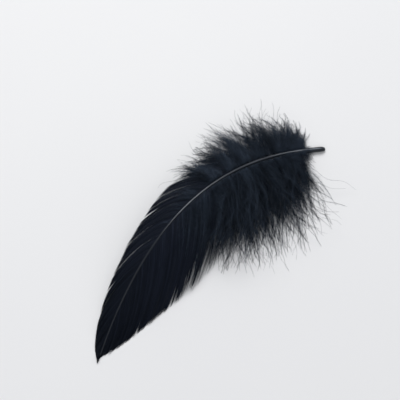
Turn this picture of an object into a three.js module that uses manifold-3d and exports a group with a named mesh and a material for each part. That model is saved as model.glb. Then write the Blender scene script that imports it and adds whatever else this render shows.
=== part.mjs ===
// A goose quill feather lying hollow side down on a flat surface: one grown piece, made of a bare
// quill that runs on as the shaft, a narrow and a broad vane, and soft down locks at its base.
// Millimetres, +Z up. The origin is where the quill's flat underside rests, and +X runs from the
// quill to the feather's tip. The broad vane is on the +Y side.
import * as THREE from "three";
import { mergeVertices } from "three/addons/utils/BufferGeometryUtils.js";
import Module from "manifold-3d";

const { degToRad, lerp, smoothstep } = THREE.MathUtils;

// Shaft
const QUILL_HEADING = degToRad(-38); // the quill's direction in plan
const REST_LENGTH = 12; // stretch of quill that lies flat, with the origin at its middle
const BEND_HANDLES = [
  [31.5, -25],
  [88.5, -21],
];
const TIP = [130.5, 1.5];
const ARCH_HEIGHT = 12; // rise of the shaft's underside between quill and tip
const ARCH_POWER = 1.75; // how gently the arch sets in at its ends
const QUILL_RADIUS = 1.15;
const TIP_RADIUS = 0.26;
const TAPER_START = 8; // distance from the quill's end
const TAPER_EASE = 12; // length over which the taper sets in
const TAPER_POWER = 0.4;
const QUILL_END_LENGTH = 2.6; // rounded end of the quill
const SHAFT_SIDES = 10;
const SHAFT_STEPS = 36;

// Barbs, in degrees: a barb leaves the shaft at an angle that is smaller nearer the tip, and bends
// towards the tip.
const BARB_ANGLE = 94;
const BARB_BEND = { ends: 14, middle: 12 };

// The two sides: how the barbs' angle falls along the shaft and again near the tip, the barbs of the
// vane, its splits and the down locks. A split has the distance of its barb along the shaft, a depth
// as a share of that barb, and the width of its mouth.
const SIDES = [
  {
    sign: 1,
    fall: 78,
    fallPower: 0.75,
    fallAtTip: 10,
    length: 40,
    taper: 4.7,
    steps: 40,
    rows: 6,
    splits: [
      { at: 52, depth: 0.36, mouth: 2.4 },
      { at: 71, depth: 0.28, mouth: 2 },
      { at: 93, depth: 0.22, mouth: 1.8 },
    ],
    locks: 32,
    lockLength: 49,
  },
  {
    sign: -1,
    fall: 72,
    fallPower: 0.7,
    fallAtTip: 10,
    length: 14,
    taper: 12,
    steps: 34,
    rows: 3,
    splits: [
      { at: 65, depth: 0.36, mouth: 1.8 },
      { at: 96, depth: 0.3, mouth: 1.6 },
    ],
    locks: 22,
    lockLength: 27,
  },
];

// Vanes
const VANE_START = 37; // distance along the shaft from the quill's end
const VANE_FULL = 62; // its barbs have their full length from here on
const VANE_FIRST = 0.82; // share of that length where the vane starts
const VANE_THICKNESS = 0.5;
const EDGE_THICKNESS = 0.32;
const DROOP = 0.0172; // fall per square millimetre of distance from the shaft
const DISHING = 0.05; // slope at which the vanes leave the shaft, upwards
const RIPPLE_HEIGHT = 0.42;
const RIPPLES = [
  { length: 19.5, share: 1, shift: 0 },
  { length: 10.7, share: 0.6, shift: 1.3 },
];
const TIP_BARB = 4; // length of the last barbs, past the shaft's end
const TIP_GAP = 0.3; // distance from the last barb's root to the shaft's end

// Down locks
const DOWN_START = 14;
const DOWN_END = 56;
const LOCK_WIDTH = 2.6; // half width where a lock is widest
const LOCK_THICKNESS = 0.8; // half thickness there
const LOCK_STEPS = 4;
const LOCK_RISE = [-10, 32]; // slope at a lock's root, in degrees
const LOCK_BEND = [8, 52]; // bend of a lock towards the feather's tip, in degrees
const LOCK_SWAY = [-3, 26]; // difference between its angle and that of the barbs, in degrees
const LOCK_SPREAD = 20; // the locks next to the quill lean this much further back, in degrees

const wasm = await Module();
wasm.setup();

// Plan of the shaft: a straight quill, then one long bend to the tip.
const heading = new THREE.Vector2(Math.cos(QUILL_HEADING), Math.sin(QUILL_HEADING));
const quillEnd = heading.clone().multiplyScalar(-REST_LENGTH / 2);
const bendStart = heading.clone().multiplyScalar(REST_LENGTH / 2);
const plan = new THREE.CurvePath();
plan.add(new THREE.LineCurve(quillEnd, bendStart));
plan.add(
  new THREE.CubicBezierCurve(
    bendStart,
    new THREE.Vector2(...BEND_HANDLES[0]),
    new THREE.Vector2(...BEND_HANDLES[1]),
    new THREE.Vector2(...TIP),
  ),
);
const SHAFT_LENGTH = plan.getLength();

const share = (s) => s / SHAFT_LENGTH;

function shaftRadius(s) {
  const end = Math.min(1, s / QUILL_END_LENGTH);
  const rounded = 0.35 + 0.65 * Math.sqrt(1 - (1 - end) ** 2);
  const tapered = Math.max(0, (s - TAPER_START) / (SHAFT_LENGTH - TAPER_START));
  const taper = tapered ** TAPER_POWER * smoothstep(s, TAPER_START, TAPER_START + TAPER_EASE);
  return rounded * lerp(QUILL_RADIUS, TIP_RADIUS, taper);
}

const flatFoot = Math.cos(Math.PI / SHAFT_SIDES); // a section stands on one of its flats

// Height of the shaft's middle, whose underside rises in an arch between quill and tip.
function shaftHeight(s) {
  const u = Math.min(1, Math.max(0, (s - REST_LENGTH) / (SHAFT_LENGTH - REST_LENGTH)));
  return ARCH_HEIGHT * Math.max(0, Math.sin(Math.PI * u)) ** ARCH_POWER + flatFoot * shaftRadius(s);
}

function shaftAt(s) {
  const u = Math.min(1, Math.max(0, share(s)));
  return { p: plan.getPoint(u), along: plan.getTangent(u), z: shaftHeight(s) };
}

function barbAngle(side, s) {
  const fallen = side.fall * share(s) ** side.fallPower + side.fallAtTip * share(s) ** 6;
  return degToRad(BARB_ANGLE - fallen);
}

function barbBend(s) {
  const { ends, middle } = BARB_BEND;
  return degToRad(ends + middle * Math.sin(Math.PI * Math.min(1, share(s))));
}

function barbLength(side, s) {
  const full = TIP_BARB + side.length * (1 - Math.min(1, share(s)) ** side.taper) ** 1.4;
  return full * lerp(VANE_FIRST, 1, smoothstep(s, VANE_START, VANE_FULL));
}

// A point on a barb's arc, q of the way out: how far along the shaft and how far away from it.
function arc(length, angle, bend, q) {
  const turned = angle - bend * q;
  return {
    forward: (length * (Math.sin(angle) - Math.sin(turned))) / bend,
    aside: (length * (Math.cos(turned) - Math.cos(angle))) / bend,
  };
}

function planPoint(root, sign, forward, aside) {
  return [
    root.p.x + root.along.x * forward - sign * root.along.y * aside,
    root.p.y + root.along.y * forward + sign * root.along.x * aside,
  ];
}

function ripple(s, q) {
  let wave = 0;
  for (const { length, share, shift } of RIPPLES) {
    wave += share * Math.sin((2 * Math.PI * s) / length + shift);
  }
  return RIPPLE_HEIGHT * wave * q * q;
}

// The middle of a vane, q of the way out along the barb that starts at s. A vane arches with the shaft.
function vanePoint(side, s, q, halfThickness) {
  const { forward, aside } = arc(barbLength(side, s), barbAngle(side, s), barbBend(s), q);
  const [x, y] = planPoint(shaftAt(s), side.sign, forward, aside);
  const arch = shaftHeight(Math.min(SHAFT_LENGTH, s + forward));
  const z = arch + DISHING * aside - DROOP * aside * aside + ripple(s, q);
  return [x, y, Math.max(z, halfThickness)];
}

// Makes a closed solid by moving each vertex of a plain one.
function moulded(geometry, place, mirrored = false) {
  geometry.deleteAttribute("normal");
  geometry.deleteAttribute("uv");
  const merged = mergeVertices(geometry, 1e-4);
  const position = merged.attributes.position;
  for (let i = 0; i < position.count; i++) {
    position.setXYZ(i, ...place(position.getX(i), position.getY(i), position.getZ(i)));
  }
  const triVerts = new Uint32Array(merged.index.array);
  if (mirrored) {
    for (let i = 0; i < triVerts.length; i += 3) {
      [triVerts[i + 1], triVerts[i + 2]] = [triVerts[i + 2], triVerts[i + 1]];
    }
  }
  const mesh = new wasm.Mesh({
    numProp: 3,
    vertProperties: new Float32Array(position.array),
    triVerts,
  });
  return new wasm.Manifold(mesh);
}

function makeShaft() {
  const turn = Math.PI / SHAFT_SIDES;
  const bar = new THREE.CylinderGeometry(1, 1, 1, SHAFT_SIDES, SHAFT_STEPS, false, turn);
  const place = (across, length, up) => {
    const s = SHAFT_LENGTH * (length + 0.5) ** 1.25; // closer steps at the quill's rounded end
    const { p, along, z } = shaftAt(s);
    const r = shaftRadius(s);
    return [p.x - along.y * across * r, p.y + along.x * across * r, z + up * r];
  };
  return moulded(bar, place, true);
}

function makeVane(side) {
  const sheet = new THREE.BoxGeometry(1, 1, 1, side.steps, side.rows, 1);
  const place = (length, across, thick) => {
    const s = lerp(VANE_START, SHAFT_LENGTH - TIP_GAP, length + 0.5);
    const q = lerp(-0.004, 1, across + 0.5);
    const t = lerp(VANE_THICKNESS, EDGE_THICKNESS, Math.max(0, q));
    const [x, y, z] = vanePoint(side, s, q, t / 2);
    return [x, y, z + thick * t];
  };
  return moulded(sheet, place, side.sign < 0);
}

// The wedge of air in a split, which widens to its mouth past the vane's edge.
function makeSplit(side, { at, depth, mouth }) {
  const wedge = new THREE.BoxGeometry(1, 1, 1, 1, 6, 1);
  const place = (length, across, thick) => {
    const open = across + 0.5;
    const q = lerp(1 - depth, 1.06, open);
    const s = at + length * lerp(0.05, mouth, open);
    const [x, y, z] = vanePoint(side, s, q, 0);
    return [x, y, z + thick * 3];
  };
  return moulded(wedge, place, side.sign < 0);
}

// Evenly scattered values between 0 and 1, the same on every run.
const scatter = (i, stride) => (0.5 + i * stride) % 1;

// The locks are longest in the middle of the down and shorter to both ends.
function lockShape(side, i) {
  const u = (i + 0.5) / side.locks;
  const s = lerp(DOWN_START, DOWN_END, u);
  const a = scatter(i, 0.618034);
  const b = scatter(i, 0.754878);
  const c = scatter(i, 0.569840);
  const full = lerp(0.66, 1, smoothstep(u, 0, 0.4)) - 0.18 * smoothstep(u, 0.7, 1);
  return {
    s,
    length: side.lockLength * full * lerp(0.84, 1, a),
    angle: barbAngle(side, s) + degToRad(lerp(...LOCK_SWAY, b) + LOCK_SPREAD * (1 - u)),
    bend: degToRad(lerp(...LOCK_BEND, c)),
    rise: Math.tan(degToRad(lerp(...LOCK_RISE, a))),
    fall: lerp(0.42, 0.75, b),
  };
}

function lockPoint(side, shape, q) {
  const root = shaftAt(shape.s);
  const { forward, aside } = arc(shape.length, shape.angle, shape.bend, q);
  const [x, y] = planPoint(root, side.sign, forward, aside);
  const z = root.z + shape.length * (shape.rise * q - shape.fall * q * q);
  return [x, y, z];
}

function makeLock(side, i) {
  const shape = lockShape(side, i);
  const strand = new THREE.CylinderGeometry(1, 1, 1, 4, LOCK_STEPS);
  const place = (across, length, up) => {
    const q = length + 0.5;
    const swell = Math.min(1, 0.3 + 1.9 * q) * (1 - 0.88 * q ** 6); // slim root, full middle, fine end
    const [x0, y0, z0] = lockPoint(side, shape, q - 0.01);
    const [x1, y1, z1] = lockPoint(side, shape, q + 0.01);
    const run = Math.hypot(x1 - x0, y1 - y0);
    const wide = across * LOCK_WIDTH * swell;
    const half = LOCK_THICKNESS * swell;
    return [
      (x0 + x1) / 2 - ((y1 - y0) / run) * wide,
      (y0 + y1) / 2 + ((x1 - x0) / run) * wide,
      Math.max((z0 + z1) / 2, half) + up * half,
    ];
  };
  return moulded(strand, place, true);
}

function makeFeather() {
  let feather = makeShaft();
  for (const side of SIDES) {
    let vane = makeVane(side);
    for (const split of side.splits) {
      vane = vane.subtract(makeSplit(side, split));
    }
    feather = feather.add(vane);
    for (let i = 0; i < side.locks; i++) {
      feather = feather.add(makeLock(side, i));
    }
  }
  return feather;
}

function geometryOf(solid) {
  const { numProp, numVert, vertProperties, triVerts } = solid.getMesh();
  const places = new Float32Array(numVert * 3);
  for (let i = 0; i < numVert; i++) {
    places.set(vertProperties.subarray(i * numProp, i * numProp + 3), i * 3);
  }
  const geometry = new THREE.BufferGeometry();
  geometry.setAttribute("position", new THREE.BufferAttribute(places, 3));
  geometry.setIndex(new THREE.BufferAttribute(triVerts, 1));
  geometry.computeVertexNormals();
  return geometry;
}

const dyedKeratin = new THREE.MeshStandardMaterial({
  color: 0x15181f,
  roughness: 0.6,
  metalness: 0,
});
const feather = new THREE.Mesh(geometryOf(makeFeather()), dyedKeratin);
feather.name = "feather";

const part = new THREE.Group();
part.add(feather);

export default part;
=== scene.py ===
"""Looks of one goose quill feather, dyed blue-black, that lies hollow side down on a pale floor.

The shaft, every barb of the two vanes and the down with its fluff are meshes, laid out by the same
rules as the solid. Lengths are in millimetres until a mesh is made; the scene itself is in metres.
"""

import math

import bpy
import numpy as np
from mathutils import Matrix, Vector


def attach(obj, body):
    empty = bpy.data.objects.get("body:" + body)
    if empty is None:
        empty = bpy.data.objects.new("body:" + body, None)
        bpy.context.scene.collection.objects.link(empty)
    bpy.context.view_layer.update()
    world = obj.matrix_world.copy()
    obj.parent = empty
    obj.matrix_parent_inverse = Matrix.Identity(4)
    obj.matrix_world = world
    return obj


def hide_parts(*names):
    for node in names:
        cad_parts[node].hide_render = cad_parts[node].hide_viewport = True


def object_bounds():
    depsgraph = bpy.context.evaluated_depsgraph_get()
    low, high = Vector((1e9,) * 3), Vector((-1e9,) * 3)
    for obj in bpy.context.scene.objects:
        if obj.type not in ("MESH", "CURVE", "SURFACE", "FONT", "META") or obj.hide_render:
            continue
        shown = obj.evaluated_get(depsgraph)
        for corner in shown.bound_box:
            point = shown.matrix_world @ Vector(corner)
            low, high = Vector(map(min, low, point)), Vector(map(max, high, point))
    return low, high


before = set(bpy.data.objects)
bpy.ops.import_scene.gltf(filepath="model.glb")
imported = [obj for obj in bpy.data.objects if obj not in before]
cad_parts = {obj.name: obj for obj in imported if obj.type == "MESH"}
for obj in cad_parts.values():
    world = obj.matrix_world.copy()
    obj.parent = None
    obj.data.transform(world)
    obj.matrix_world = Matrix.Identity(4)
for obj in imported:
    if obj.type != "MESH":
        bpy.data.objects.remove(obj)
cad_low, cad_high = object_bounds()
rng = np.random.default_rng(38)

MM = 0.001
TOP = cad_high[2] / MM

# Heights over the floor that nothing goes below: a vane's middle surface and its strips, and the
# down's curves, their tubes and the ends of the barbules
LEAST_HEIGHT = {"surface": 0.1, "strip": 0.02, "curve": 0.1, "tube": 0.01, "end": 0.03}

# Shaft
QUILL_HEADING = math.radians(-38)  # the quill's direction seen from above
REST_LENGTH = 12  # stretch of quill that lies flat
BEND_HANDLES = ((31.5, -25), (88.5, -21))
TIP = (130.5, 1.5)
ARCH_HEIGHT = 12  # rise of the shaft's underside between quill and tip
ARCH_POWER = 1.75
QUILL_RADIUS = 1.15
TIP_RADIUS = 0.26
TAPER_START = 8  # distance from the quill's end
TAPER_EASE = 12
TAPER_POWER = 0.4
QUILL_END_LENGTH = 2.6  # rounded end of the quill
FOOT = math.cos(math.pi / 10)  # height of the shaft's middle over its flat foot, in radii
SHAFT_SIDES = 20
QUILL_END_RINGS = 10
SHAFT_RINGS = 220
SQUARED = (16, 34)  # the round quill becomes the squarer shaft between these distances
CORNERS = 0.1  # how far the corners stand out and the flats stand back, in radii
GROOVE = {"depth": 0.5, "width": 0.42}  # on the underside, in radii and radians
SCRAPED = 0.02  # unevenness of the surface, in radii
SCRAPED_WAVES = (2.3, 5.1, 9.7)
PIT = ((0.12, 0.7), (0.5, 0.45), (0.8, 0.1))  # its rings: share of the quill's end, and depth

# Barbs, in degrees
BARB_ANGLE = 94
BARB_BEND = {"ends": 14, "middle": 12}

# The two sides: fall of the barbs' angle along the shaft and again near the tip; length of the vane's
# barbs and how suddenly they shorten at the tip; splits as place, depth and width; how far the barbs'
# ends sweep on; the place up to which they are loose; points along a barb; the down locks with their
# barbs, and the barbules in a millimetre of barb; numbers of stray and veil barbs; and the number of
# pieces that the down is made in.
SIDES = {
    "broad": {
        "sign": 1,
        "fall": 78,
        "fall_power": 0.75,
        "fall_at_tip": 10,
        "length": 40,
        "taper": 4.7,
        "splits": ((52, 0.36, 2.4), (71, 0.28, 2), (93, 0.22, 1.8)),
        "sweep": 3,
        "loose_until": 86,
        "steps": 34,
        "locks": 32,
        "lock_length": 49,
        "barbs_in_lock": 12,
        "fluff": 8.7,
        "strays": 130,
        "veil": 80,
        "pieces": 3,
    },
    "narrow": {
        "sign": -1,
        "fall": 72,
        "fall_power": 0.7,
        "fall_at_tip": 10,
        "length": 14,
        "taper": 12,
        "splits": ((65, 0.36, 1.8), (96, 0.3, 1.6)),
        "sweep": 9,
        "loose_until": 58,
        "steps": 22,
        "locks": 22,
        "lock_length": 27,
        "barbs_in_lock": 10,
        "fluff": 13,
        "strays": 80,
        "veil": 24,
        "pieces": 2,
    },
}

# Vanes
VANE_START = 37
VANE_FULL = 62  # the barbs have their full length from here on
VANE_FIRST = 0.82  # share of that length where the solid's vane starts
DROOP = 0.0172  # fall per square millimetre of distance from the shaft
DISHING = 0.05  # slope at which the vanes leave the shaft, upwards
RIPPLE_HEIGHT = 0.42
RIPPLES = ((19.5, 1, 0), (10.7, 0.6, 1.3))  # length, share and phase
TIP_BARB = 4  # length of the barbs at the shaft's end
TIP_FAN = 2  # the last barbs all leave the shaft's end, in a fan as if spread over this length
TIP_FAN_TURN = 5  # degrees that the fan turns in a millimetre of it
TIP_FAN_LOSS = 0.8  # how much shorter its barbs get in a millimetre of it

# Barbs of the vanes. Waves are given by their lengths along the shaft.
FIRST_BARB = 29  # loose barbs of the vanes start among the down
BARB_PITCH = 0.3
LEAST_SLANT = 0.35  # sine of the barbs' angle below which they start no further apart
ROOT_STEP = 0.02
BARB_HALF_WIDTH = 0.6  # in spacings, so that neighbours overlap
BARB_END = {"from": 0.93, "width": 0.22}  # where a barb narrows to its end, and how far
RIDGE = (0.015, 0.07)  # height of a barb's ridge: least, and what its width adds
KEEL = (0.3, 0.22)  # depth of a barb's underside, at the shaft and at the edge
UNEVEN = 0.012  # unevenness of the vane's edge, in barb lengths
EDGE_WAVES = (3.1, 5.3, 8.9)
SPLIT_REACH = 4.5  # distance over which barbs give way beside a split
SPLIT_END = 1.03  # a split would be fully open this far out, in barb lengths
SMALL_SPLITS = {"count": 5, "between": (60, 128), "depth": (0.06, 0.2), "width": (0.2, 0.6)}
SWEEP_POWER = 1.5
SWEEP_FADES = 95  # the sweep gets less from here to the tip
LAID_WAVES = {"fine": (1.9, 2.7, 3.7), "broad": (5.3, 8.3, 12.7)}
LAID_HEIGHT = {"fine": 0.13, "broad": 0.55, "single": 0.02, "loose": 0.5}
LAID_FULL = 0.9  # the broad waves have their full height this far out, in barb lengths
WAVE_PHASES = 6  # radians
CURL_PHASES = 6.28

# Loose ends of the barbs. Where they start is a share of the barb's length.
FRAYING = 8  # unevenness of the line along which the barbs come loose
FRAYING_WAVES = (4.3, 7.9, 13.7)
LOOSE_FROM = (0.15, 1.12)  # the first barb is loose from here on, a firm one not at all
LOOSE_FROM_SPREAD = 0.08
LOOSE_EASE = 0.15  # a barb comes loose over this share of its length
LOOSE_LOSS = 0.3  # a wholly loose barb is up to this share shorter
LOOSE_MOST = 0.8  # no barb counts as looser than this for its loss
LOOSE_WIDTH = 0.4  # in widths of a firm barb
LOOSE_KEEL = 0.35  # in depths of a firm barb
LOOSE_TRACED = 0.92  # barbs that come loose before this get barbules
STRAYING = 3
CURL = 0.9
CURL_TURN = 7  # radians in a barb's length
WISP = 1.7  # how far loose barbs gather
WISP_WAVES = (3.7, 6.1)

# Down. Angles, bends and rises are in degrees, and a fall is a share of a barb's length. The barbs of
# a lock or tuft vary by DOWN_VARIES, where the rise is a slope.
DOWN_START = 14
DOWN_END = 56
LOCK_STRIDES = (0.618034, 0.754878, 0.569840)
LOCK_SIZE = {"first": 0.66, "last_loss": 0.18, "least": 0.84}  # in lengths of the longest lock
LOCK_RISE = (-10, 32)
LOCK_BEND = (8, 52)
LOCK_SWAY = (-3, 26)
LOCK_SPREAD = 20
LOCK_FALL = (0.42, 0.75)
DOWN_RINGS = 16
DOWN_VARIES = {"root": 0.8, "angle": 8, "bend": 14, "rise": 0.07, "fall": 0.06}
DOWN_BEND_LIMITS = (-0.2, 0.5)  # radians
DOWN_LENGTHS = (0.55, 1.0)
DOWN_WAVE = {"aside": 1.1, "up": 0.7, "length": (12, 32)}
TUFTS = 9
TUFT_BARBS = 6
TUFT_RANGE = (10.5, 19)
TUFT_LENGTH = (6, 21)
TUFT_VARIES = (0.8, 1.2)
TUFT = {"angle": (108, 148), "bend": (5, 60), "rise": (-10, 40), "fall": (0.3, 0.6)}
STRAY_RINGS = 20
STRAY_UNTIL = 0.95  # share of the down's stretch on which they start
STRAY_LENGTH = (0.85, 1.12)  # in lengths of the longest lock
# Mean and spread of their angle, past that of the vane's barbs, and bend; limits of rise and fall
STRAY = {"angle": (20, 15), "bend": (12, 34), "rise": (5, 30), "fall": (0.3, 0.6)}
VEIL_START = (44, 62)
VEIL_SPREAD = 24
VEIL_REACH = {"between": (48, 80), "share": (0.85, 0.45), "varies": (0.7, 1.1)}
VEIL_DRIFT = ((-1, 5), (0, 4))  # along the shaft, mean and spread: straight, and bending
VEIL_LIFT = (0.3, (0.2, 1.6))  # over the vane at the shaft, and what is added at the end
BOX_SPARE = 1.5  # how far a curve may pass the solid's box, seen from above
DOWN_HEADROOM = 2.5  # heights less than this below the solid's top are eased
FLUFF_HEADROOM = 1.5

# Barbules
BARBULE_RADIUS = 0.033
BARBULE_PLACES = (1, 1.4)  # more of them near the barb's root than near its end
BARBULE_LEAN = (50, 13)  # from the barb, in degrees: mean and spread
BARBULE_ROLL = 40
BARBULE_LENGTH = {"at_end": 0.2, "shortens": (0.45, 0.95), "varies": (0.55, 1.15)}

# What is soft: where its barbules start on a barb, how many there are in a millimetre and how long
# they are, and the barb's radii at its root and its end
DOWN_LOOK = {"start": 0.04, "length": 3, "radii": (0.065, 0.035)}
STRAY_LOOK = {"start": 0.3, "per_mm": 1.8, "length": 1.3, "radii": (0.055, 0.03)}
# the veil's paler tone is painted light, so that its barbs look lit where they lie over the vane
VEIL_LOOK = {"start": 0.1, "per_mm": 6, "length": 2, "radii": (0.045, 0.018), "paler": 0.1}
LOOSE_LOOK = {"per_mm": 14, "length": 2.2, "radii": (0.03, 0.018)}
DOWN_TONES = (1.1, 1.9)  # more dark barbs than pale ones

# Tones of the vanes' barbs: level, what its waves, chance and patches add, and how much painted shade
# darkens the edge and the tip
VANE_TONE = {"level": 0.74, "waves": 0.2, "chance": 0.17, "patches": 0.12, "edge": 0.35, "tip": 0.6}
TIP_PAINTED_SHADE = (80, 145)  # the painted shade towards the tip grows between these distances along the shaft

# Colours, each with its place on a ramp from dark to pale
VANE_COLOURS = (
    (0.3, (0.0018, 0.0028, 0.006)),
    (0.55, (0.005, 0.0068, 0.0135)),
    (0.8, (0.0125, 0.016, 0.0275)),
)
DOWN_COLOURS = (
    (0.22, (0.003, 0.0052, 0.0095)),
    (0.45, (0.0135, 0.02, 0.0325)),
    (0.8, (0.043, 0.06, 0.09)),
)
# the palest stop is reached mostly where the painted highlight is added along the shaft
SHAFT_COLOURS = (
    (0.3, (0.004, 0.005, 0.008)),
    (0.55, (0.014, 0.016, 0.023)),
    (0.85, (0.07, 0.077, 0.093)),
)
FLOOR_COLOURS = ((0.35, (0.79, 0.79, 0.8)), (0.65, (0.82, 0.82, 0.825)))
BARBULE_ROWS = 0.09  # distance between the rows of barbules that are drawn on a vane
BARBULE_SLANT = 0.1

# Photograph
VIEW_AZIMUTH = math.radians(135.3)
VIEW_ELEVATION = math.radians(70)
IMAGE_SIDE = 400
MM_PER_PIXEL = 0.438
QUILL_END_PIXEL = (327, 148)
CAMERA_DISTANCE = 620
SENSOR = 36

# Studio, in metres and watts
FLOOR_SIZE = 8
SKY_COLOUR = (0.95, 0.97, 1, 1)
SKY_STRENGTH = 0.42
LIGHTS = (
    ("key_light", (-0.5, -0.68, 1.05), 0.8, 14),
    ("fill_light", (0.7, 0.3, 0.9), 0.9, 2),
)


def lerp(a, b, t):
    return a + (b - a) * t


def smoothstep(x, low, high):
    t = np.clip((x - low) / (high - low), 0, 1)
    return t * t * (3 - 2 * t)


def unit(v):
    return v / np.maximum(np.linalg.norm(v, axis=-1, keepdims=True), 1e-9)


def wave_of(s, lengths, phases):
    """A smooth uneven wave between about -1 and 1."""
    return sum(np.sin(2 * math.pi * s / w + p) for w, p in zip(lengths, phases)) / len(lengths)


def chance_wave(s, lengths):
    return wave_of(s, lengths, rng.uniform(0, WAVE_PHASES, len(lengths)))


def shaft_line(samples=3000):
    """Distances along the shaft and the points there, seen from above: a straight, then one bend."""
    heading = np.array([math.cos(QUILL_HEADING), math.sin(QUILL_HEADING)])
    start, bend = -heading * REST_LENGTH / 2, heading * REST_LENGTH / 2
    a, b, c, d = (np.array(p, float) for p in (bend, *BEND_HANDLES, TIP))
    t = np.linspace(0, 1, samples)[:, None]
    curve = (1 - t) ** 3 * a + 3 * (1 - t) ** 2 * t * b + 3 * (1 - t) * t**2 * c + t**3 * d
    points = np.vstack([start + (bend - start) * t[:-1], curve])
    steps = np.linalg.norm(np.diff(points, axis=0), axis=1)
    return np.concatenate([[0], np.cumsum(steps)]), points


LINE_S, LINE_P = shaft_line()
SHAFT_LENGTH = LINE_S[-1]
LINE_T = unit(np.gradient(LINE_P, LINE_S, axis=0))


def share(s):
    return np.clip(s / SHAFT_LENGTH, 0, 1)


def shaft_radius(s):
    end = np.clip(s / QUILL_END_LENGTH, 0, 1)
    rounded = 0.35 + 0.65 * np.sqrt(1 - (1 - end) ** 2)
    tapered = np.clip((s - TAPER_START) / (SHAFT_LENGTH - TAPER_START), 0, 1)
    taper = tapered**TAPER_POWER * smoothstep(s, TAPER_START, TAPER_START + TAPER_EASE)
    return rounded * lerp(QUILL_RADIUS, TIP_RADIUS, taper)


def shaft_height(s):
    """Height of the shaft's middle, whose underside rises in an arch between quill and tip."""
    u = np.clip((s - REST_LENGTH) / (SHAFT_LENGTH - REST_LENGTH), 0, 1)
    return ARCH_HEIGHT * np.sin(math.pi * u).clip(0) ** ARCH_POWER + FOOT * shaft_radius(s)


def shaft_at(s):
    """Place of the shaft's middle seen from above, and its direction there."""
    s = np.asarray(s, float)
    place = np.stack([np.interp(s, LINE_S, LINE_P[:, k]) for k in (0, 1)], -1)
    along = unit(np.stack([np.interp(s, LINE_S, LINE_T[:, k]) for k in (0, 1)], -1))
    return place, along


def in_fan(s):
    """How far a barb's place is past the shaft's end, where the last barbs are numbered on."""
    return np.clip(s - SHAFT_LENGTH, 0, TIP_FAN)


def barb_angle(side, s):
    fallen = side["fall"] * share(s) ** side["fall_power"] + side["fall_at_tip"] * share(s) ** 6
    return np.radians(BARB_ANGLE - fallen - TIP_FAN_TURN * in_fan(s))


def barb_bend(s):
    return np.radians(BARB_BEND["ends"] + BARB_BEND["middle"] * np.sin(math.pi * share(s)))


def barb_length(side, s):
    shape = (1 - share(s) ** side["taper"]) ** 1.4
    full = TIP_BARB + side["length"] * shape - TIP_FAN_LOSS * in_fan(s)
    return full * lerp(VANE_FIRST, 1, smoothstep(s, VANE_START, VANE_FULL))


def barb_spacing(side, s):
    """Distance along the shaft between two barbs whose lines are a pitch apart."""
    return BARB_PITCH / np.sin(barb_angle(side, s)).clip(LEAST_SLANT)


def barb_roots(side):
    """Where the barbs of a vane start, so that their lines are about as far apart all over it."""
    s = np.arange(FIRST_BARB, SHAFT_LENGTH + TIP_FAN, ROOT_STEP)
    number = np.cumsum(ROOT_STEP / barb_spacing(side, s))
    return np.interp(np.linspace(0, number[-1], int(number[-1]) + 1), number, s)


def barb_place(side, s, length, angle, bend, q):
    """Where a barb that starts at s is seen from above, q of the way out, and how far that is along the
    shaft and aside from it."""
    place, along = shaft_at(s)
    turned = angle - bend * q
    forward = length * (np.sin(angle) - np.sin(turned)) / bend
    aside = length * (np.cos(turned) - np.cos(angle)) / bend
    sign = side["sign"]
    x = place[..., 0] + along[..., 0] * forward - sign * along[..., 1] * aside
    y = place[..., 1] + along[..., 1] * forward + sign * along[..., 0] * aside
    return x, y, forward, aside


def vane_point(side, s, q):
    """A point of a vane's middle surface, q of the way out along the barb that starts at s."""
    x, y, forward, aside = barb_place(side, s, barb_length(side, s), barb_angle(side, s), barb_bend(s), q)
    arch = shaft_height(np.minimum(s + forward, SHAFT_LENGTH))
    wave = sum(part * np.sin(2 * math.pi * s / length + shift) for length, part, shift in RIPPLES)
    z = arch + DISHING * aside - DROOP * aside**2 + RIPPLE_HEIGHT * wave * q**2
    return np.stack([x, y, np.maximum(z, LEAST_HEIGHT["surface"])], -1)


def new_mesh(name, points, triangles, material, notes):
    """A smooth mesh that stands for the solid. notes holds named values for each point."""
    mesh = bpy.data.meshes.new(name)
    mesh.vertices.add(len(points))
    mesh.vertices.foreach_set("co", (points * MM).astype(np.float32).ravel())
    mesh.loops.add(triangles.size)
    mesh.loops.foreach_set("vertex_index", triangles.astype(np.int32).ravel())
    mesh.polygons.add(len(triangles))
    mesh.polygons.foreach_set("loop_start", np.arange(0, triangles.size, 3, dtype=np.int32))
    mesh.polygons.foreach_set("use_smooth", np.ones(len(triangles), bool))
    for key, values in notes.items():
        layer = mesh.attributes.new(key, "FLOAT", "POINT")
        layer.data.foreach_set("value", values.astype(np.float32).ravel())
    mesh.update(calc_edges=True)
    mesh.materials.append(material)
    piece = bpy.data.objects.new(name, mesh)
    bpy.context.scene.collection.objects.link(piece)
    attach(piece, "root")
    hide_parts("feather")
    print(f"{name}: {len(triangles)} triangles")


def tube_triangles(strands, rings, sides):
    """Faces of closed tubes whose points are ordered by strand, ring and side."""
    index = np.arange(strands * rings * sides).reshape(strands, rings, sides)
    a, b = index[:, :-1], index[:, 1:]
    a_next, b_next = np.roll(a, -1, 2), np.roll(b, -1, 2)
    faces = [np.stack([a, a_next, b_next], -1), np.stack([a, b_next, b], -1)]
    first, last = index[:, 0], index[:, -1]
    for k in range(1, sides - 1):
        faces.append(np.stack([first[:, 0], first[:, k + 1], first[:, k]], -1))
        faces.append(np.stack([last[:, 0], last[:, k], last[:, k + 1]], -1))
    return np.concatenate([f.reshape(-1, 3) for f in faces])


def curve_frame(curves):
    """Direction, side and upper side at each point of curves given as (curve, point, xyz)."""
    along = unit(np.gradient(curves, axis=1))
    side = unit(np.cross([0, 0, 1], along))
    return along, side, np.cross(along, side)


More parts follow.
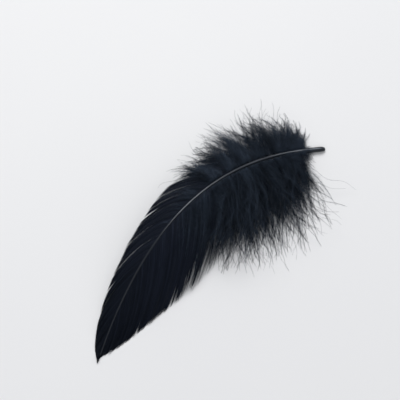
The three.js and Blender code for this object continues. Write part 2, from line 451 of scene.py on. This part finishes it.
def make_shaft(material):
    """The quill and the shaft it runs on as: round at first, then squarer with a groove beneath."""
    rounding = np.linspace(0, QUILL_END_LENGTH, QUILL_END_RINGS) ** 1.5 / QUILL_END_LENGTH**0.5
    s = np.concatenate([rounding, np.linspace(QUILL_END_LENGTH, SHAFT_LENGTH, SHAFT_RINGS)[1:]])
    place, along = shaft_at(s)
    z, radius = shaft_height(s), shaft_radius(s)
    turn = 2 * math.pi * np.arange(SHAFT_SIDES) / SHAFT_SIDES
    across, up = np.cos(turn), np.sin(turn)
    squared = smoothstep(s, *SQUARED)[:, None]
    corner = 1 - CORNERS * squared * np.cos(4 * turn)
    down = 1.5 * math.pi
    groove = GROOVE["depth"] * squared * np.exp(-((turn - down) / GROOVE["width"]) ** 2)
    scraped = 1 + SCRAPED * wave_of(s, SCRAPED_WAVES, (0, 1, 2))[:, None] * np.cos(3 * turn)
    r = radius[:, None] * (corner - groove) * scraped
    x = place[:, :1] - along[:, 1:] * r * across
    y = place[:, 1:] + along[:, :1] * r * across
    tube = np.stack([x, y, np.maximum(z[:, None] + r * up, 0)], -1)
    # The quill's end has a small pit, so the tube is turned in there.
    sizes, depths = zip(*PIT)
    pit = np.stack([lerp(tube[0].mean(0), tube[0], size) for size in sizes])
    heading = np.array([*LINE_T[0], 0])
    pit += heading * np.array(depths)[:, None, None]
    points = np.concatenate([pit, tube])
    rings = len(points)
    run = np.repeat(np.concatenate([np.zeros(len(PIT)), s]), SHAFT_SIDES)
    notes = {"run": run, "across": np.tile(across, rings), "tone": np.full(rings * SHAFT_SIDES, 0.5)}
    new_mesh("shaft", points.reshape(-1, 3), tube_triangles(1, rings, SHAFT_SIDES), material, notes)


def small_splits(count, between, depth, width):
    """Little gaps where a few barbs have let go of each other: place, depth and width."""
    at = np.sort(rng.uniform(*between, count))
    return list(zip(at, rng.uniform(*depth, count), rng.uniform(*width, count)))


def parted(roots, q, splits):
    """How far barbs are pushed along the shaft by the splits next to them."""
    shift = np.zeros(np.broadcast(roots, q).shape)
    for at, depth, width in splits:
        opened = smoothstep(q, 1 - depth, SPLIT_END)
        fading = np.exp(-np.abs(roots - at) / SPLIT_REACH)
        shift += np.sign(roots - at) * fading * width / 2 * opened
    return shift


def where_loose(side, roots):
    """The share of each barb from which it is loose: nearly all of it at first, none further up."""
    frayed = FRAYING * chance_wave(roots, FRAYING_WAVES)
    firm = smoothstep(roots + frayed, FIRST_BARB, side["loose_until"])
    return lerp(*LOOSE_FROM, firm) + rng.uniform(-LOOSE_FROM_SPREAD, LOOSE_FROM_SPREAD, roots.shape)


def barb_reach(uneven, loose_from):
    """The share of its full length that each barb has."""
    reach = 1 - UNEVEN * (1 + uneven) - rng.uniform(0, UNEVEN, uneven.shape)
    return reach - rng.uniform(0, LOOSE_LOSS, uneven.shape) * (1 - loose_from).clip(0, LOOSE_MOST)


def straying(roots, q, loose_from):
    """How far loose ends stray along the shaft, each by itself, in a curl and in wisps."""
    curl = np.sin(CURL_TURN * q + rng.uniform(0, CURL_PHASES, roots.shape)) * CURL
    strayed = rng.normal(0, STRAYING, roots.shape) * np.clip(q - loose_from, 0, None) + curl * q
    return strayed + WISP * chance_wave(roots, WISP_WAVES) * q


def laid_height(roots, q, loose):
    """How far the barbs lie over the vane's middle surface: in waves, and each by itself."""
    height = LAID_HEIGHT["fine"] * chance_wave(roots, LAID_WAVES["fine"])
    broad = LAID_HEIGHT["broad"] * chance_wave(roots, LAID_WAVES["broad"])
    height = height + broad * smoothstep(q, 0, LAID_FULL)
    height = height + rng.normal(0, LAID_HEIGHT["single"], roots.shape)
    return height + loose * rng.normal(0, LAID_HEIGHT["loose"], roots.shape) * q


def vane_tone(roots, q, uneven):
    """The tone of each barb, in soft patches, with painted shade that darkens it to the edge and the tip.
    """
    patches = VANE_TONE["patches"] * np.sin(roots / 6 + 3 * q) * np.sin(roots / 15 - 4 * q + 1)
    chance = VANE_TONE["chance"] * rng.normal(0, 1, roots.shape)
    tone = VANE_TONE["level"] + VANE_TONE["waves"] * uneven + chance + patches
    # painted shade: the barbs are made darker towards the vane's edge and towards its tip
    return tone - VANE_TONE["edge"] * q - VANE_TONE["tip"] * smoothstep(roots + 12 * q, *TIP_PAINTED_SHADE)


def make_vane(name, material):
    """Every barb of one vane, as a slim closed strip that meets its neighbours. Gives the lines of the
    barbs and the share of each from which it is loose."""
    side = SIDES[name]
    roots = barb_roots(side)[:, None]
    count, steps = len(roots), side["steps"]
    uneven = chance_wave(roots, EDGE_WAVES)
    loose_from = where_loose(side, roots)
    reach = barb_reach(uneven, loose_from)
    q = np.linspace(0, 1, steps)[None, :] * reach
    loose = smoothstep(q, loose_from, loose_from + LOOSE_EASE)
    strayed = straying(roots, q, loose_from) * loose
    splits = list(side["splits"]) + small_splits(**SMALL_SPLITS)
    swept = side["sweep"] * q**SWEEP_POWER * (1 - smoothstep(roots, SWEEP_FADES, SHAFT_LENGTH))
    s = roots + parted(roots, q, splits) + strayed + swept
    slim = lerp(1, BARB_END["width"], smoothstep(q / reach, BARB_END["from"], 1))
    slim = slim * lerp(1, LOOSE_WIDTH, loose)
    half = BARB_HALF_WIDTH * barb_spacing(side, roots) * slim * side["sign"]
    centre = vane_point(side, s, q)
    _, _, upper = curve_frame(centre)
    least = LEAST_HEIGHT["surface"] - centre[..., 2]
    height = np.maximum(laid_height(roots, q, loose), least)
    ridge = RIDGE[1] * slim + RIDGE[0]
    keel = lerp(*KEEL, q) * lerp(1, LOOSE_KEEL, loose) * slim
    rings = np.stack([vane_point(side, s - half, q) + upper * height[..., None],
                      centre + upper * (height + ridge)[..., None],
                      vane_point(side, s + half, q) + upper * height[..., None],
                      centre + upper * (height - keel)[..., None]], 2)
    rings[..., 2] = rings[..., 2].clip(LEAST_HEIGHT["strip"])
    run = np.broadcast_to((q * barb_length(side, roots))[..., None], rings.shape[:3])
    tone = vane_tone(roots, q, uneven)
    notes = {
        "run": run.ravel(),
        "across": np.broadcast_to(np.array([-1.0, 0.0, 1.0, 0.0]), run.shape).ravel(),
        "tone": np.broadcast_to(tone[..., None], run.shape).ravel(),
    }
    new_mesh(f"vane_{name}", rings.reshape(-1, 3), tube_triangles(count, steps, 4), material, notes)
    return centre + upper * height[..., None], loose_from[:, 0] / reach[:, 0]


def lock_shapes(side):
    """The down locks of one side, by the rule that shapes the solid's."""
    i = np.arange(side["locks"])
    a, b, c = ((0.5 + i * stride) % 1 for stride in LOCK_STRIDES)
    u = (i + 0.5) / side["locks"]
    s = lerp(DOWN_START, DOWN_END, u)
    full = lerp(LOCK_SIZE["first"], 1, smoothstep(u, 0, 0.4))
    full = full - LOCK_SIZE["last_loss"] * smoothstep(u, 0.7, 1)
    return {
        "s": s,
        "length": side["lock_length"] * full * lerp(LOCK_SIZE["least"], 1, a),
        "angle": barb_angle(side, s) + np.radians(lerp(*LOCK_SWAY, b) + LOCK_SPREAD * (1 - u)),
        "bend": np.radians(lerp(*LOCK_BEND, c)),
        "rise": np.tan(np.radians(lerp(*LOCK_RISE, a))),
        "fall": lerp(*LOCK_FALL, b),
    }


def tuft_shapes():
    """Short tufts on the quill, just ahead of the first locks."""
    return {
        "s": np.linspace(*TUFT_RANGE, TUFTS),
        "length": np.linspace(*TUFT_LENGTH, TUFTS) * rng.uniform(*TUFT_VARIES, TUFTS),
        "angle": np.radians(rng.uniform(*TUFT["angle"], TUFTS)),
        "bend": np.radians(rng.uniform(*TUFT["bend"], TUFTS)),
        "rise": np.tan(np.radians(rng.uniform(*TUFT["rise"], TUFTS))),
        "fall": rng.uniform(*TUFT["fall"], TUFTS),
    }


def stray_shapes(side):
    """Long bare barbs that stick out of the down here and there."""
    count = side["strays"]
    s = lerp(DOWN_START, DOWN_END, rng.uniform(0, STRAY_UNTIL, count))
    return {
        "s": s,
        "length": side["lock_length"] * rng.uniform(*STRAY_LENGTH, count),
        "angle": barb_angle(side, s) + np.radians(rng.normal(*STRAY["angle"], count)),
        "bend": np.radians(rng.normal(*STRAY["bend"], count)),
        "rise": np.tan(np.radians(rng.uniform(*STRAY["rise"], count))),
        "fall": rng.uniform(*STRAY["fall"], count),
    }


def under_top(z, room):
    """Eases heights that near the solid's top, so that they stay below it."""
    over = np.clip(z - (TOP - room), 0, None)
    return z - over + room * (1 - np.exp(-over / room))


def down_curves(side, shapes, barbs_in_each, rings=DOWN_RINGS):
    """Lines of the down barbs of locks or tufts, several to each."""
    lock = {key: np.repeat(value, barbs_in_each)[:, None] for key, value in shapes.items()}
    count = len(lock["s"])
    q = np.linspace(0, 1, rings)[None, :]

    def vary(key):
        return rng.normal(0, DOWN_VARIES[key], (count, 1))

    s = lock["s"] + vary("root")
    length = lock["length"] * rng.uniform(*DOWN_LENGTHS, (count, 1)) ** 0.7
    angle = lock["angle"] + np.radians(vary("angle"))
    bend = lock["bend"] + np.radians(vary("bend")).clip(*DOWN_BEND_LIMITS)
    x, y, _, _ = barb_place(side, s, length, angle, bend, q)
    slope = (lock["rise"] + vary("rise")) * q - (lock["fall"] + vary("fall")) * q**2
    curves = np.stack([x, y, shaft_height(s) + length * slope], -1)
    _, aside, upper = curve_frame(curves)
    for away, size in ((aside, DOWN_WAVE["aside"]), (upper, DOWN_WAVE["up"])):
        turns = q * length / rng.uniform(*DOWN_WAVE["length"], (count, 1))
        turns = turns + rng.uniform(0, 1, (count, 1))
        wave = size * np.sin(2 * math.pi * turns) * smoothstep(q, 0, 0.6)
        curves = curves + away * wave[..., None]
    curves[..., 2] = under_top(curves[..., 2], DOWN_HEADROOM).clip(LEAST_HEIGHT["curve"])
    return curves


def within_box(curves):
    """The curves that stay in the solid's box seen from above, or nearly."""
    low, high = (np.array(corner)[:2] / MM for corner in (cad_low, cad_high))
    ends = curves[..., :2]
    return curves[((ends > low - BOX_SPARE) & (ends < high + BOX_SPARE)).all((1, 2))]


def veil_curves(side):
    """Lines of the soft barbs that lie on the vane where the down gives way to it."""
    each = (side["veil"], 1)
    s = rng.uniform(*VEIL_START, each) + rng.uniform(0, VEIL_SPREAD, each) * rng.uniform(0, 1, each)
    reach = lerp(*VEIL_REACH["share"], smoothstep(s, *VEIL_REACH["between"]))
    reach = reach * rng.uniform(*VEIL_REACH["varies"], each)
    q = np.linspace(0, 1, DOWN_RINGS)[None, :] * reach
    straight, bending = VEIL_DRIFT
    drift = rng.normal(*straight, each) * q + rng.normal(*bending, each) * q**2
    curves = vane_point(side, s + drift, q)
    at_root, at_end = VEIL_LIFT
    lifted = curves[..., 2] + at_root + rng.uniform(*at_end, each) * q
    curves[..., 2] = under_top(lifted, DOWN_HEADROOM)
    return curves


def strands(curves, root_radius, tip_radius):
    """Points and faces of three-sided tapering tubes along the curves."""
    count, rings, _ = curves.shape
    _, side, upper = curve_frame(curves)
    radius = np.linspace(root_radius, tip_radius, rings)[None, :, None]
    turn = 2 * math.pi * np.arange(3) / 3 + math.pi / 2
    points = np.stack([curves + radius * (side * math.cos(t) + upper * math.sin(t)) for t in turn], 2)
    points[..., 2] = points[..., 2].clip(LEAST_HEIGHT["tube"])
    return points.reshape(-1, 3), tube_triangles(count, rings, 3)


def barbules(curves, start, per_mm, length):
    """The fluff: fine spikes that leave the curves on all sides, more to the left and right."""
    count, rings, _ = curves.shape
    run = np.linalg.norm(np.diff(curves, axis=1), axis=-1).sum(1) * (1 - start)
    number = rng.poisson(run * per_mm)
    which = np.repeat(np.arange(count), number)
    total = len(which)
    q = lerp(start[which], 1, rng.beta(*BARBULE_PLACES, total))
    place = q * (rings - 1)
    k = np.minimum(place.astype(int), rings - 2)
    base = lerp(curves[which, k], curves[which, k + 1], (place - k)[:, None])
    along = unit(curves[which, k + 1] - curves[which, k])
    side = unit(np.cross([0, 0, 1], along))
    upper = np.cross(along, side)
    lean = np.radians(rng.normal(*BARBULE_LEAN, total))[:, None]
    roll = np.radians(rng.normal(0, BARBULE_ROLL, total))[:, None]
    left = rng.choice([-1, 1], total)[:, None]
    out = along * np.cos(lean) + np.sin(lean) * (left * side * np.cos(roll) + upper * np.sin(roll))
    grown = length * lerp(1, BARBULE_LENGTH["at_end"], smoothstep(q, *BARBULE_LENGTH["shortens"]))
    grown = grown * rng.uniform(*BARBULE_LENGTH["varies"], total)
    apex = base + out * grown[:, None]
    apex[:, 2] = under_top(apex[:, 2], FLUFF_HEADROOM).clip(LEAST_HEIGHT["end"])
    one = unit(np.cross(out, upper + 0.1 * side))
    two = np.cross(out, one)
    radius = BARBULE_RADIUS * lerp(1, 0.6, q)[:, None]
    turn = 2 * math.pi * np.arange(3) / 3
    foot = [base + radius * (one * math.cos(t) + two * math.sin(t)) for t in turn]
    points = np.stack([*foot, apex], 1)
    points[..., 2] = points[..., 2].clip(LEAST_HEIGHT["tube"])
    first = 4 * np.arange(total)[:, None, None]
    corners = np.array([[0, 1, 3], [1, 2, 3], [2, 0, 3]])
    return points.reshape(-1, 3), (first + corners).reshape(-1, 3), which


def make_down(name, curves, material, start, per_mm, length, radii, paler=0.0):
    """Down barbs along the curves, with their fluff, as one piece."""
    count, rings, _ = curves.shape
    # paler lifts the tone as painted light, for the veil's barbs
    tone = rng.beta(*DOWN_TONES, count) + paler
    stems, stem_faces = strands(curves, *radii)
    starts = np.broadcast_to(start, count)
    fluff, fluff_faces, which = barbules(curves, starts, per_mm, length)
    points = np.concatenate([stems, fluff])
    triangles = np.concatenate([stem_faces, fluff_faces + len(stems)])
    run = np.concatenate([np.zeros(len(stems)), np.tile([0.0, 0.0, 0.0, 1.0], len(which))])
    shade = np.concatenate([np.repeat(tone, rings * 3), np.repeat(tone[which], 4)])
    notes = {"run": run, "across": np.zeros(len(points)), "tone": shade}
    new_mesh(name, points, triangles, material, notes)


def make_side(name, vane_look, down_look):
    """One vane, and the down on its side of the shaft."""
    side = SIDES[name]
    barbs, loose_from = make_vane(name, vane_look)
    locks = down_curves(side, lock_shapes(side), side["barbs_in_lock"])
    tufts = within_box(down_curves(side, tuft_shapes(), TUFT_BARBS))
    for i, bunch in enumerate(np.array_split(np.concatenate([tufts, locks]), side["pieces"])):
        make_down(f"down_{name}_{i + 1}", bunch, down_look, per_mm=side["fluff"], **DOWN_LOOK)
    strays = within_box(down_curves(side, stray_shapes(side), 1, STRAY_RINGS))
    make_down(f"strays_{name}", strays, down_look, **STRAY_LOOK)
    make_down(f"veil_{name}", veil_curves(side), down_look, **VEIL_LOOK)
    loose = loose_from < LOOSE_TRACED
    make_down(f"loose_ends_{name}", barbs[loose], down_look, loose_from[loose], **LOOSE_LOOK)


class Look:
    """A new material, with short ways to add nodes to it and to feed its shader."""

    def __init__(self, name):
        self.material = bpy.data.materials.new(name)
        self.material.use_nodes = True
        self.tree = self.material.node_tree
        self.tree.nodes.clear()
        output = self.tree.nodes.new("ShaderNodeOutputMaterial")
        self.shader = self.tree.nodes.new("ShaderNodeBsdfPrincipled")
        self.tree.links.new(self.shader.outputs["BSDF"], output.inputs["Surface"])

    def feed(self, node, inputs):
        """Sets a node's inputs to constants, or links them to other nodes."""
        for key, value in inputs.items():
            if isinstance(value, bpy.types.NodeSocket):
                self.tree.links.new(value, node.inputs[key])
            else:
                node.inputs[key].default_value = value

    def node(self, kind, inputs):
        node = self.tree.nodes.new(f"ShaderNode{kind}")
        self.feed(node, inputs)
        return node

    def note(self, key):
        """What the mesh's points hold under this name."""
        node = self.node("Attribute", {})
        node.attribute_name = key
        return node.outputs["Fac"]

    def place(self):
        return self.node("TexCoord", {}).outputs["Object"]

    def vector(self, values, scale):
        """Three values as one vector, each times its part of scale."""
        vector = self.node("CombineXYZ", dict(zip("XYZ", values)))
        scaled = self.node("VectorMath", {0: vector.outputs[0], 1: scale})
        scaled.operation = "MULTIPLY"
        return scaled.outputs[0]

    def noise(self, vector, scale, detail=3):
        return self.node("TexNoise", {"Vector": vector, "Scale": scale, "Detail": detail}).outputs["Fac"]

    def result(self, operation, *values):
        node = self.node("Math", dict(enumerate(values)))
        node.operation = operation
        return node.outputs[0]

    def ramp(self, value, stops):
        node = self.node("ValToRGB", {"Fac": value})
        elements = node.color_ramp.elements
        while len(elements) < len(stops):
            elements.new(0.5)
        for element, (place, colour) in zip(elements, stops):
            element.position = place
            element.color = (*colour, 1)
        return node.outputs["Color"]

    def bump(self, height, distance, strength):
        node = self.node("Bump", {"Height": height, "Distance": distance, "Strength": strength})
        return node.outputs["Normal"]


def vane_material():
    """Satin, with a tone to each barb, streaks along it and the slanting rows of its barbules."""
    look = Look("dyed_vane")
    run, across, tone = (look.note(key) for key in ("run", "across", "tone"))
    streak = look.noise(look.vector((run, across, tone), (0.12, 0.5, 9)), 1)
    mixed = look.result("ADD", look.result("MULTIPLY", streak, 0.6), look.result("MULTIPLY", tone, 0.4))
    slant = look.result("MULTIPLY", look.result("ABSOLUTE", across), BARBULE_SLANT)
    row = look.result("MULTIPLY", look.result("ADD", run, slant), 2 * math.pi / BARBULE_ROWS)
    look.feed(look.shader, {
        "Base Color": look.ramp(mixed, VANE_COLOURS),
        "Normal": look.bump(look.result("SINE", row), 0.00001, 0.5),
        "Roughness": look.result("MULTIPLY_ADD", streak, 0.22, 0.34),
        "Specular IOR Level": 0.12,
        "Specular Tint": (0.75, 0.86, 1, 1),
        "Sheen Weight": 0.05,
        "Sheen Roughness": 0.4,
        "Sheen Tint": (0.55, 0.65, 0.85, 1),
    })
    return look.material


def down_material():
    """Matt and soft, a little paler towards the ends of the fluff."""
    look = Look("dyed_down")
    run, tone = look.note("run"), look.note("tone")
    clump = look.noise(look.place(), 240)
    mixed = look.result("ADD", look.result("MULTIPLY", clump, 0.4), look.result("MULTIPLY", tone, 0.7))
    mixed = look.result("MULTIPLY_ADD", run, 0.15, mixed)
    look.feed(look.shader, {
        "Base Color": look.ramp(mixed, DOWN_COLOURS),
        "Roughness": look.result("MULTIPLY_ADD", clump, 0.2, 0.6),
        "Specular IOR Level": 0.12,
        "Specular Tint": (0.8, 0.9, 1, 1),
        "Sheen Weight": 0.08,
        "Sheen Roughness": 0.5,
        "Sheen Tint": (0.6, 0.7, 0.85, 1),
    })
    return look.material


def shaft_material():
    """Glossy horn, nearly black at its sides, with a painted highlight as a paler line along its top and
    its underside, and fine streaks. The painted highlight fades to the tip."""
    look = Look("dyed_horn")
    run, across, tone = (look.note(key) for key in ("run", "across", "tone"))
    streak = look.noise(look.vector((run, across, tone), (0.05, 2.6, 1)), 2, 5)
    # painted highlight: a paler band along the shaft's top and underside, fading towards the tip
    painted_highlight_band = look.result("SUBTRACT", 1, look.result("ABSOLUTE", across))
    painted_highlight_fade = look.result("MULTIPLY_ADD", run, -0.0055, 1)
    ridge = look.result("MULTIPLY", look.result("POWER", painted_highlight_band, 3), painted_highlight_fade)
    mixed = look.result("MULTIPLY_ADD", ridge, 0.5, look.result("MULTIPLY", streak, 0.6))
    look.feed(look.shader, {
        "Base Color": look.ramp(mixed, SHAFT_COLOURS),
        "Normal": look.bump(streak, 0.00005, 0.4),
        "Roughness": look.result("MULTIPLY_ADD", streak, 0.3, 0.16),
        "Specular IOR Level": 0.45,
        "Specular Tint": (0.85, 0.92, 1, 1),
        "Coat Weight": 0.1,
        "Coat Roughness": 0.3,
    })
    return look.material


def make_floor():
    look = Look("pale_paper")
    mottle = look.noise(look.place(), 3)
    look.feed(look.shader, {
        "Base Color": look.ramp(mottle, FLOOR_COLOURS),
        "Roughness": 0.9,
        "Specular IOR Level": 0.1,
    })
    bpy.ops.mesh.primitive_plane_add(size=FLOOR_SIZE, location=(0, 0, 0))
    floor = bpy.context.active_object
    floor.name = "floor"
    floor.data.materials.append(look.material)


def make_camera():
    """Looks down as the photograph does, with the quill's end on its pixel there."""
    right = Vector((math.cos(VIEW_AZIMUTH), math.sin(VIEW_AZIMUTH), 0))
    away = Vector((-math.sin(VIEW_AZIMUTH), math.cos(VIEW_AZIMUTH), 0))
    quill_end = Vector((*LINE_P[0], QUILL_RADIUS))
    pixels_right = QUILL_END_PIXEL[0] - IMAGE_SIDE / 2
    pixels_up = IMAGE_SIDE / 2 - QUILL_END_PIXEL[1]
    target = quill_end - right * pixels_right * MM_PER_PIXEL
    target -= away * pixels_up * MM_PER_PIXEL / math.sin(VIEW_ELEVATION)
    back = Vector((0, 0, math.sin(VIEW_ELEVATION))) - away * math.cos(VIEW_ELEVATION)
    data = bpy.data.cameras.new("camera")
    data.sensor_width = SENSOR
    data.lens = SENSOR * CAMERA_DISTANCE / (IMAGE_SIDE * MM_PER_PIXEL)
    data.clip_start = 0.01
    camera = bpy.data.objects.new("camera", data)
    camera.location = (target + back * CAMERA_DISTANCE) * MM
    camera.rotation_euler = (-back).to_track_quat("-Z", "Y").to_euler()
    bpy.context.scene.collection.objects.link(camera)
    bpy.context.scene.camera = camera


def make_light(name, place, size, power):
    """A square soft box that faces the feather's middle."""
    data = bpy.data.lights.new(name, "AREA")
    data.size = size
    data.energy = power
    lamp = bpy.data.objects.new(name, data)
    lamp.location = place
    middle = (cad_low + cad_high) / 2
    lamp.rotation_euler = (middle - lamp.location).to_track_quat("-Z", "Y").to_euler()
    bpy.context.scene.collection.objects.link(lamp)


def make_studio():
    world = bpy.data.worlds.new("studio")
    world.use_nodes = True
    background = world.node_tree.nodes["Background"]
    background.inputs["Color"].default_value = SKY_COLOUR
    background.inputs["Strength"].default_value = SKY_STRENGTH
    bpy.context.scene.world = world
    for light in LIGHTS:
        make_light(*light)
    bpy.context.scene.view_settings.view_transform = "Standard"


make_camera()
make_floor()
make_studio()
make_shaft(shaft_material())
vane_look, down_look = vane_material(), down_material()
for name in SIDES:
    make_side(name, vane_look, down_look)
